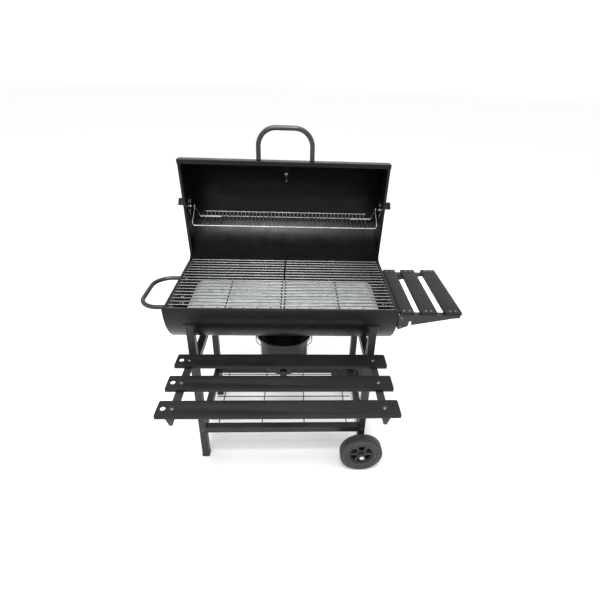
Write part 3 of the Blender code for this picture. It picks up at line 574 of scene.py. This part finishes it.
def leaf_rivets(part, word, side, body):
    """Two domed rivets on each hinge leaf."""
    height = -0.028 if part == "bowl" else 0.025
    place = BARREL if part == "bowl" else LID_POSE
    for number, x in enumerate((-0.016, 0.016)):
        spot = place @ shift(side * HINGE_X + x, 0.1918, HINGE[2] + height) @ turn(-90, "X")
        add(f"{part}_leaf_rivet_{word}_{number + 1}", bolt_head(0.0030, 0.0018), dark_bolt,
            body, spot)


def dial_marks():
    """Marks every 10 degrees round the dial, each third one longer and wider."""
    marks = []
    for i in range(28):
        long = i % 3 == 0
        mark = box((-0.0003 - 0.0002 * long, 0.0182 - 0.0018 * long, 0.0047),
                   (0.0003 + 0.0002 * long, 0.0212, 0.0049))
        marks.append((mark, turn(135 - 10 * i, "Z")))
    return combined(marks)


def make_thermometer():
    """Bezel, dial, needle and glass outside the lid; nut and stem inside it."""
    angle = math.radians(THERMOMETER_ANGLE)
    foot = (0, -R * math.sin(angle), LID + R * math.cos(angle))
    place = LID_POSE @ shift(*foot) @ turn(THERMOMETER_ANGLE, "X")
    case = [(0, 0.0006), (0.0240, 0.0006), (0.0262, 0.0020), (0.0270, 0.0045), (0.0270, 0.0122),
            (0.0264, 0.0136), (0.0252, 0.0140), (0.0243, 0.0134), (0.0243, 0.0040), (0, 0.0040)]
    add("thermometer_bezel", lathe(case, 64), chrome, "lid", place,
        stands_for=["thermometer_case"])
    make_dial(place)
    glass = [(0, 0.0118), (0.0160, 0.0114), (0.0242, 0.0106), (0.0242, 0.0114),
             (0.0160, 0.0122), (0, 0.0126)]
    add("thermometer_lens", lathe(glass, 48), lens_glass, "lid", place)
    arm = plate([[(-0.0016, -0.0060), (0.0016, -0.0060), (0.0012, 0), (0.0003, 0.0180),
                  (-0.0003, 0.0180), (-0.0012, 0)]], 0.0008, 0.0001)
    boss = lathe([(0, 0.0054), (0.0026, 0.0054), (0.0026, 0.0074), (0.0018, 0.0080),
                  (0, 0.0080)], 24)
    add("thermometer_pointer", combined([(arm, shift(0, 0, 0.0065)), (boss, Matrix())]),
        needle_red, "needle", place, stands_for=["thermometer_needle"])
    make_probe(place)


def make_dial(place):
    """Pale disc with its marks and the ring round them."""
    disc = [(0, 0.0041), (0.0242, 0.0041), (0.0242, 0.0047), (0, 0.0047)]
    add("thermometer_dial", lathe(disc, 64), dial_face, "lid", place)
    add("thermometer_marks", dial_marks(), dial_ink, "lid", place)
    ring = lathe([(0.0225, 0.0047), (0.0229, 0.0047), (0.0229, 0.0049), (0.0225, 0.0049)], 64)
    add("thermometer_ring", ring, dial_ink, "lid", place)


def make_probe(place):
    """Stem that reaches into the lid, and the nut that holds it."""
    stem = [(0, 0.0), (0.0032, 0.0), (0.0032, -0.0300), (0.0024, -0.0345), (0.0024, -0.0390),
            (0.0012, -0.0400), (0, -0.0400)]
    hexagon = [(0.0034, -0.0026), (0.0082, -0.0026), (0.0088, -0.0032), (0.0088, -0.0062),
               (0.0080, -0.0070), (0.0034, -0.0070)]
    probe = combined([(lathe(stem, 20), Matrix()), (lathe(hexagon, 6), Matrix())])
    add("thermometer_probe", probe, zinc_bolt, "lid", place, stands_for=["thermometer_stem"])


# ---------------------------------------------------------------- wire work and tray
def rack_shelf(front, back, level, comb):
    """Thin wires from front to back, turned up behind into a comb."""
    count, pitch = 43, 0.0153
    top = level + 0.0026                    # they lie on the rails
    runs = []
    for i in range(count):
        x = pitch * (i - (count - 1) / 2)
        corners = [(x, front - 0.0015, top), (x, back + 0.0026, top),
                   (x, back + 0.0026, comb + 0.0030)]
        runs.append(rounded(corners, 0.004, 4))
    return wires(runs, 0.0012, resolution=2)


def rack_rails(front, back, level, comb):
    """Long wires under the shelf and along the comb, and short ones at both ends."""
    half = 0.342
    rails = [[(-half, front, level), (half, front, level)],
             [(-half, back, level), (half, back, level)],
             [(-0.327, back, comb), (0.327, back, comb)]]
    for side in (-1, 1):
        for y in (0.034, 0.044):
            rails.append([(side * 0.262, y, level + 0.0045), (side * 0.3455, y, level + 0.0045)])
    return wires(rails, 0.0019)


def rack_hangers(front, back, level):
    """At each end, two bent wires that come down from a loop round the pivot."""
    hangers = []
    loops = []
    for side in (-1, 1):
        x = side * 0.356
        loops.append([(x, 0.0058 * math.cos(a), -0.0010 + 0.0078 * math.sin(a))
                      for a in [math.tau * i / 28 for i in range(28)]])
        for start, y in ((-0.0040, front), (0.0040, back)):
            corners = [(x, start, -0.0070), (x, y, level + 0.012),
                       (x - side * 0.004, y, level), (side * 0.338, y, level)]
            hangers.append(rounded(corners, 0.004, 5))
    return wires(hangers, 0.0018), wires(loops, 0.0018, True)


def make_rack():
    """Warming rack, drawn about its pivot, which stays level under the lid."""
    pivot = joints["rack_swing"]["pos_m"]
    place = shift(MIDDLE[0], pivot[1], pivot[2])
    front, back, level, comb = -0.0593, 0.0557, -0.0568, -0.0370
    hangers, loops = rack_hangers(front, back, level)
    mesh = combined([(rack_shelf(front, back, level, comb), Matrix()),
                     (rack_rails(front, back, level, comb), Matrix()),
                     (hangers, Matrix()), (loops, Matrix())])
    add("warming_rack_wires", mesh, chrome, "rack", place, stands_for=["warming_rack"])


def make_grates():
    """Two grates side by side, each of bars welded on three cross wires."""
    inner, outer = 0.0030, 0.3625
    level = GRATE_Z - 0.0046                # the cross wires run under the bars
    for word, side in (("left", -1), ("right", 1)):
        rows = [0.0027 + GRATE_PITCH * (i - (GRATE_BARS - 1) / 2) for i in range(GRATE_BARS)]
        bars = [[(side * inner, y, GRATE_Z), (side * outer, y, GRATE_Z)] for y in rows]
        cross = [[(side * x, rows[0] - 0.002, level), (side * x, rows[-1] + 0.002, level)]
                 for x in (inner + 0.0030, (inner + outer) / 2, outer - 0.0030)]
        mesh = combined([(wires(bars, 0.0025), Matrix()), (wires(cross, 0.0024), Matrix())])
        add(f"grate_{word}_wires", mesh, grate_wire, f"grate_{word}",
            stands_for=[f"cooking_grate_{word}"])


def strip(rows):
    """A solid strip through rows of four corners each, closed at both ends."""
    def fill(bm):
        rings = [[bm.verts.new(corner) for corner in row] for row in rows]
        for first, second in zip(rings, rings[1:]):
            for i in range(4):
                j = (i + 1) % 4
                bm.faces.new((first[i], first[j], second[j], second[i]))
        bm.faces.new(rings[0])
        bm.faces.new(rings[-1])
    return mesh_of(fill)


def make_tray():
    """Perforated sheet with a down-turned flap at each end."""
    flat, end, half = 0.322, 0.345, 0.1675
    holes = [arc(0.0029, 0, 337.5, 15, (0.0473 * i, 0.042 * j))
             for i in range(-6, 7) for j in range(-2, 3)]
    sheet = plate([rounded_box_outline(flat + 0.0005, half, 0.0012)] + holes, SHEET, 0.0002)
    parts = [(sheet, shift(0, 0, TRAY_Z - SHEET / 2))]
    for side in (-1, 1):
        rows = [[(side * x, w * y, z - drop)
                 for w, drop in ((-1, 0), (1, 0), (1, SHEET), (-1, SHEET))]
                for x, z, y in ((flat, TRAY_Z, half), (flat + 0.003, TRAY_Z - 0.001, half - 0.0008),
                                (end, TRAY_Z - 0.014, 0.1610))]
        parts.append((strip(rows), Matrix()))
    add("charcoal_tray_sheet", combined(parts), galvanised, "tray",
        stands_for=["charcoal_tray"])


# ---------------------------------------------------------------- ash outlet and pot
def make_ash_cover():
    """Short tube under the bowl with a ridged cover that the pot hangs from."""
    collar, bore = 0.0545, 0.0533
    top = RIM - math.sqrt(R * R - collar * collar) + 0.004
    profile = [(bore, top), (collar, top), (collar, 0.4812), (0.0565, 0.4800), (0.0635, 0.4800)]
    profile += [(0.0660, 0.4790), (0.0675, 0.4772), (0.0770, 0.4770), (0.0795, 0.4762),
                (0.0812, 0.4750), (0.0925, 0.4750), (0.0945, 0.4757), (0.0990, 0.4757),
                (0.1018, 0.4752), (0.1035, 0.4736), (0.1035, 0.4660), (0.1023, 0.4660),
                (0.1023, 0.4730), (0.0990, 0.4744), (0.0800, 0.4744), (0.0660, 0.4762),
                (0.0630, 0.4787), (bore, 0.4787)]
    add("ash_cover", lathe(profile, 96), pot_paint, FRAME_BODY, stands_for=["ash_outlet"])


def make_ash_bucket():
    """Round pot with a rolled lip, a bead below it and a round foot."""
    lip, base, foot = 0.091, 0.330, 0.0795
    outside = [(lip - SHEET, 0.4734), (lip + 0.0010, 0.4738), (lip + 0.0028, 0.4728),
               (lip + 0.0030, 0.4705), (lip + 0.0014, 0.4690), (lip, 0.4680), (lip - 0.0010, 0.430),
               (lip - 0.0004, 0.4270), (lip - 0.0012, 0.4240)]
    outside += arc(0.0095, 0, -90, 10, (foot, base + 0.0095)) + [(0.030, base), (0.0, base)]
    inside = [(0.0, base + SHEET)] + arc(0.0080, -90, 0, 10, (foot, base + 0.0095))
    pot = lathe(outside + inside + [(lip - SHEET - 0.0006, 0.4600)], 96)
    add("ash_bucket", pot, pot_paint, "pot", stands_for=["ash_pot"])


def make_ash_grip():
    """Bent strap on the front of the pot, to pull it down by."""
    strap = rounded([(0, -0.0868, 0.3550), (0, -0.1030, 0.3550), (0, -0.1025, 0.3380)], 0.004, 6)

    def fill(bm):
        rows = [[bm.verts.new((x, p[1], p[2])) for x in (-0.0125, 0.0125)] for p in strap]
        for first, second in zip(rows, rows[1:]):
            bm.faces.new((first[0], first[1], second[1], second[0]))
    grip = add("ash_bucket_grip", mesh_of(fill), pot_paint, "pot")
    thick = grip.modifiers.new("thickness", "SOLIDIFY")
    thick.thickness = 0.0018
    thick.offset = 0
    bevel(grip, 0.0004)


def make_ash_clips():
    """Wire bails on both sides of the pot, which hook over the cover."""
    for word, side in (("left", -1), ("right", 1)):
        foot, knee = side * 0.0907, side * 0.1056
        run = rounded([(foot, -0.012, 0.412), (knee, -0.012, 0.432), (knee, -0.012, 0.4765),
                       (knee, 0.012, 0.4765), (knee, 0.012, 0.432), (foot, 0.012, 0.412)],
                      0.006, 6)
        add(f"ash_clip_{word}", wires([run], 0.0014), dark_bolt, "pot",
            stands_for=[f"ash_pot_clip_{word}"])


# ---------------------------------------------------------------- frame and wheels
def make_frame():
    """Legs, rails, crossbars, shelf arms and the bottom shelf's wires."""
    for end in ("front", "rear"):
        for word in ("left", "right"):
            finish_cad(f"leg_{end}_{word}", frame_paint, 0.0012, 3)
        finish_cad(f"crossbar_{end}", frame_paint, 0.0022, 3)
        finish_cad(f"foot_cap_{end}", foot_plastic, 0.0020, 3)
    for word in ("left", "right"):
        finish_cad(f"side_rail_upper_{word}", frame_paint, 0.0022, 3)
        finish_cad(f"side_rail_lower_{word}", frame_paint, 0.0022, 3)
        finish_cad(f"shelf_arm_{word}", frame_paint, 0.0005, 2)
        arm_nose(word)
    finish_cad("axle", zinc_bolt, 0.0008)
    low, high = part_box("wire_shelf")
    level = low[2] + 0.002
    middle_y = (low[1] + high[1]) / 2 - MIDDLE[1]
    half_y = (high[1] - low[1]) / 2
    along = [[(x, middle_y - half_y, level), (x, middle_y + half_y, level)]
             for x in (-0.242, -0.080, 0.080, 0.242)]
    across = [[(-0.270, y, level + 0.0035), (0.270, y, level + 0.0035)]
              for y in (-0.140, -0.020, 0.115)]
    add("bottom_shelf_wires", wires(along + across, 0.002), frame_paint, FRAME_BODY,
        stands_for=["wire_shelf"])
    frame_bolts()


def arm_nose(word):
    """Closed front end of a shelf arm, narrower at the bottom than at the top."""
    low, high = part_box(f"shelf_arm_{word}")
    middle = (low[0] + high[0]) / 2
    half_x, half_z = (high[0] - low[0]) / 2, (high[2] - low[2]) / 2
    nose = plate([[(-0.40 * half_x, -half_z + 0.0004), (0.40 * half_x, -half_z + 0.0004),
                   (0.93 * half_x, half_z - 0.001), (-0.93 * half_x, half_z - 0.001)]],
                 0.0016, 0.0003)
    place = shift(middle, low[1] + 0.0012, (low[2] + high[2]) / 2) @ turn(90, "X")
    add(f"shelf_arm_nose_{word}", nose, frame_paint, FRAME_BODY, place)


def frame_bolts():
    """Bolts through the legs into the crossbars and rails."""
    for end, y, sign in (("front", -0.1775, -1), ("rear", 0.1845, 1)):
        for word, side in (("left", -1), ("right", 1)):
            for level, z in (("lower", 0.1415), ("upper", 0.4525)):
                if end == "front" and level == "upper":
                    continue
                place = BARREL @ shift(side * LEG_X, y, z) @ turn(90 * -sign, "X")
                add(f"leg_bolt_{end}_{word}_{level}", bolt_head(0.0048, 0.0028), dark_bolt,
                    FRAME_BODY, place)


def tyre():
    """Tread and side walls of a wheel, with round shoulders."""
    half = 0.018
    profile = [(0.0470, half - 0.0015), (0.0485, half), (0.0560, half - 0.0008),
               (0.0575, half - 0.0020), (0.0590, half - 0.0004), (0.0700, half - 0.0004)]
    profile += arc(0.0085, 80, 8, 8, (0.0712, half - 0.0090))
    profile += arc(0.0085, -8, -80, 8, (0.0712, 0.0090 - half))
    profile += [(0.0700, 0.0004 - half), (0.0590, 0.0004 - half), (0.0470, -half),
                (0.0440, -0.0120), (0.0440, 0.0130)]
    return lathe(profile, 96)


def tread_ribs():
    """Two staggered rows of ribs on the shoulders of the tyre."""
    ribs = []
    for i in range(60):
        for level in (-0.0118, 0.0118):
            rib = box((0.0762, -0.0014, level - 0.0042), (0.0795, 0.0014, level + 0.0042))
            ribs.append((rib, turn(6 * i + (3 if level > 0 else 0), "Z")))
    return ribs


def wheel_moulding():
    """Tyre, windowed web and hub, moulded in one, with a closed disc behind the web that puts
    painted shade in its windows.
    """
    web = plate([arc(0.0462, 0, 355, 71), arc(0.0056, 0, 345, 23)]
                + [spoke_gap(60 * i) for i in range(6)], 0.0100, 0.0012)
    boss = lathe([(0.0056, 0.0218), (0.0112, 0.0218), (0.0124, 0.0206), (0.0140, 0.0060),
                  (0.0140, -0.0060), (0.0124, -0.0206), (0.0112, -0.0218),
                  (0.0056, -0.0218)], 40)
    # closed dark disc behind the web: painted shade that makes the see-through windows look dark
    back = lathe([(0.0060, -0.0060), (0.0455, -0.0060), (0.0455, -0.0085),
                  (0.0060, -0.0085)], 64)
    return combined([(tyre(), Matrix()), (web, shift(0, 0, 0.0055)), (boss, Matrix()),
                     (back, Matrix())] + tread_ribs())


def make_wheels():
    """The two wheels, and the caps on the ends of their axle."""
    for end, side in (("front", -1), ("rear", 1)):
        place = BARREL @ shift(*centre_of(f"wheel_{end}")) @ turn(90 * -side, "X")
        add(f"{end}_wheel_moulding", wheel_moulding(), wheel_plastic, f"{end}_wheel", place,
            stands_for=[f"wheel_{end}"])
        cap = [(0, 0.0), (0.0083, 0.0), (0.0083, 0.0030), (0.0070, 0.0052), (0.0035, 0.0059),
               (0, 0.0060)]
        outer = place @ shift(0, 0, CAP_OUT)
        add(f"axle_cap_{end}", lathe(cap, 32), zinc_bolt, FRAME_BODY, outer)


def spoke_gap(middle):
    """One window between two spokes, with round corners."""
    return arc(0.0190, middle + 47, middle + 13, 5) + arc(0.0405, middle + 8, middle + 52, 9)


# ---------------------------------------------------------------- shelves
def folded_slat(half_x, half_y, height, corner, holes=()):
    """Sheet slat, open below: a flat top with its edges turned down all round."""
    outer = rounded_box_outline(half_x, half_y, corner)
    inner = rounded_box_outline(half_x - SHEET, half_y - SHEET, corner - SHEET * 0.6)
    top = plate([outer, *holes], SHEET, 0.0005)
    skirt = plate([rounded_box_outline(half_x - 0.00002, half_y - 0.00002, corner), inner],
                  height - SHEET, 0.0002)
    return combined([(top, shift(0, 0, height / 2 - SHEET / 2)),
                     (skirt, shift(0, 0, -SHEET / 2))])


def make_shelf():
    """Front shelf: three slats, each with a hanging hole, bolted to the arms."""
    for number in range(3):
        name = f"shelf_slat_{number + 1}"
        low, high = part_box(name)
        centre = [(a + b) / 2 for a, b in zip(low, high)]
        half_x, half_y = (high[0] - low[0]) / 2, (high[1] - low[1]) / 2
        hole = arc(0.0072, 0, 350, 35, (-half_x + 0.018, 0))
        mesh = folded_slat(half_x, half_y, high[2] - low[2], 0.005, [hole])
        add(f"front_shelf_slat_{number + 1}", mesh, slat_coat, FRAME_BODY, shift(*centre),
            stands_for=[name])
        for word, x in (("left", -SHELF_ARM_X), ("right", SHELF_ARM_X)):
            place = shift(MIDDLE[0] + x, centre[1], high[2])
            add(f"shelf_bolt_{number + 1}_{word}", bolt_head(0.0064, 0.0034), dark_bolt,
                FRAME_BODY, place)


def make_table():
    """Side table: three slats bolted to the two brackets."""
    for letter in "abc":
        name = f"table_slat_{letter}"
        low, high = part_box(name)
        centre = [(a + b) / 2 for a, b in zip(low, high)]
        half_x, half_y = (high[0] - low[0]) / 2, (high[1] - low[1]) / 2
        mesh = folded_slat(half_x, half_y, high[2] - low[2], 0.004)
        add(f"side_table_slat_{letter}", mesh, slat_coat, FRAME_BODY, shift(*centre),
            stands_for=[name])
        for word, y in (("front", low[1] + 0.013), ("rear", high[1] - 0.013)):
            for number, x in enumerate((-0.009, 0.009)):
                add(f"table_bolt_{letter}_{word}_{number + 1}", bolt_head(0.0044, 0.0026),
                    dark_bolt, FRAME_BODY, shift(centre[0] + x, y, high[2]))
    for end, sign in (("front", -1), ("rear", 1)):
        finish_cad(f"table_bracket_{end}", frame_paint, 0.0004)
        low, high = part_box(f"table_bracket_{end}")
        y = low[1] if end == "front" else high[1]
        for number, z in enumerate((0.619, 0.654)):
            place = shift(MIDDLE[0] + BRACKET_BOLT_X, y, z) @ turn(-90 * sign, "X")
            add(f"bracket_bolt_{end}_{number + 1}", bolt_head(0.0045, 0.0028), dark_bolt,
                FRAME_BODY, place)


# ---------------------------------------------------------------- stage, light and camera
def make_stage():
    """Pale floor, even white surroundings and two soft lamps."""
    floor = bpy.data.meshes.new("floor")
    bm = bmesh.new()
    bmesh.ops.create_circle(bm, cap_ends=True, segments=96, radius=30.0)
    bm.to_mesh(floor)
    bm.free()
    made, tree, shader = material("pale_floor", (0.93, 0.93, 0.93), 0.85, 0.0, 0.1)
    spread(tree, noise(tree, 3.0, 3.0), 0.82, 0.90, shader.inputs["Roughness"])
    floor.materials.append(made)
    ground = bpy.data.objects.new("studio_floor", floor)
    bpy.context.scene.collection.objects.link(ground)

    world = bpy.data.worlds.new("studio")
    world.use_nodes = True
    sky = world.node_tree.nodes["Background"]
    sky.inputs["Color"].default_value = (1.0, 1.0, 1.0, 1)
    sky.inputs["Strength"].default_value = 1.05
    bpy.context.scene.world = world
    soft_light("key_softbox", (-0.25, -1.25, 3.1), (0, 0.2, 0.7), 1.2, 125)
    soft_light("top_softbox", (0.5, 0.6, 3.3), (0, 0.1, 0.6), 1.6, 30)
    bpy.context.scene.view_settings.view_transform = "Standard"


def soft_light(name, place, target, size, power):
    """Square area lamp aimed at a point."""
    lamp = bpy.data.lights.new(name, "AREA")
    lamp.shape = "SQUARE"
    lamp.size = size
    lamp.energy = power
    light = bpy.data.objects.new(name, lamp)
    light.location = place
    aim = Vector(target) - Vector(place)
    light.rotation_euler = aim.to_track_quat("-Z", "Y").to_euler()
    bpy.context.scene.collection.objects.link(light)


def make_camera():
    """Camera 1.4 m above the floor, in front of the grill, looking down at it."""
    yaw, pitch, roll = math.radians(3.39), math.radians(27.79), math.radians(2.28)
    ahead = Vector((math.sin(yaw), math.cos(yaw), 0))
    right = Vector((math.cos(yaw), -math.sin(yaw), 0))
    up = Vector((0, 0, 1))
    look = ahead * math.cos(pitch) - up * math.sin(pitch)
    crown = up * math.cos(pitch) + ahead * math.sin(pitch)
    side = right * math.cos(roll) + crown * math.sin(roll)
    over = crown * math.cos(roll) - right * math.sin(roll)
    lens = bpy.data.cameras.new("camera")
    lens.sensor_width = 36.0
    lens.lens = 24.5
    lens.shift_x = -0.0273
    lens.shift_y = -0.0322
    lens.clip_start = 0.05
    lens.clip_end = 80
    camera = bpy.data.objects.new("camera", lens)
    turned = Matrix((side, over, -look)).transposed().to_4x4()
    spot = MIDDLE + Vector((0.0388, -1.2859, 1.3674))
    camera.matrix_world = Matrix.Translation(spot) @ turned
    bpy.context.scene.collection.objects.link(camera)
    bpy.context.scene.camera = camera


make_bowl()
make_side_handle()
make_lid_handle()
make_lid()
make_thermometer()
make_rack()
make_grates()
make_tray()
make_ash_cover()
make_ash_bucket()
make_ash_grip()
make_ash_clips()
make_frame()
make_wheels()
make_shelf()
make_table()
make_stage()
make_camera()
